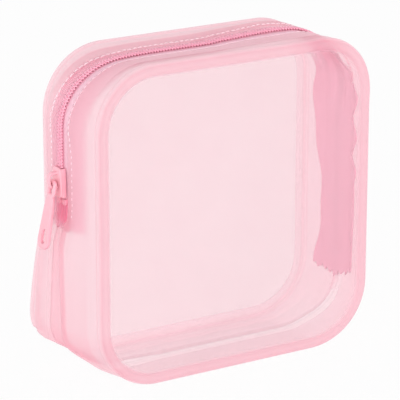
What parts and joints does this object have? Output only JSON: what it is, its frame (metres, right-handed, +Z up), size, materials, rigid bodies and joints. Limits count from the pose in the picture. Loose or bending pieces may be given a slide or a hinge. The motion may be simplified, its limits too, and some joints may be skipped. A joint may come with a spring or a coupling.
{
  "type": "zipped silicone pouch",
  "caption": "Soft square pouch of translucent silicone with thick-rimmed front and back panels, opened by a coil zip that runs up one side, over the top and down the other.",
  "frame": {"origin": "on the floor under the middle of the pouch, halfway between the outer faces of the two panels", "axes": "+X to the right across the front panel, +Y from the front panel to the back one, +Z up"},
  "size_m": [0.1402, 0.0452, 0.13],
  "materials": {
    "silicone": "frosted, see-through pink silicone",
    "zip_tape": "woven pink polyester tape",
    "zip_coil": "pink nylon wire, satin",
    "coil_cord": "twisted pink filler cord",
    "sewing_thread": "pale pink twisted thread",
    "zip_stop": "pink moulded plastic",
    "painted_slider": "pink painted die-cast metal, satin"
  },
  "bodies": {
    "front_half": {"front_shell": "silicone", "hinge_web": "silicone", "front_tape": "zip_tape", "front_coil": "zip_coil", "front_coil_cord": "coil_cord", "front_seam_thread": "sewing_thread", "front_top_stop": "zip_stop", "bottom_stop": "zip_stop"},
    "back_half": {"back_shell": "silicone", "back_tape": "zip_tape", "back_coil": "zip_coil", "back_coil_cord": "coil_cord", "back_seam_thread": "sewing_thread", "back_top_stop": "zip_stop"},
    "slider": {"slider_body": "painted_slider"},
    "pull": {"pull_tab": "painted_slider"}
  },
  "joints": [
    {"name": "mouth_open", "type": "hinge", "parent": "front_half", "child": "back_half", "pos_m": [0, 0.003, 0.0012], "axis": [-1, 0, 0], "range_deg": [0, 20], "deforming": ["hinge_web", "front_tape", "back_tape", "front_coil", "back_coil", "front_coil_cord", "back_coil_cord"]},
    {"name": "slider_travel", "type": "slide", "parent": "front_half", "child": "slider", "axis": [0, 0, 1], "range_m": [0, 0.014], "deforming": ["front_tape", "back_tape", "front_coil", "back_coil", "front_coil_cord", "back_coil_cord"]},
    {"name": "pull_swing", "type": "hinge", "parent": "slider", "child": "pull", "pos_m": [-0.06812, 0.003, 0.0817], "axis": [0, 1, 0], "range_deg": [-11, 150]}
  ]
}
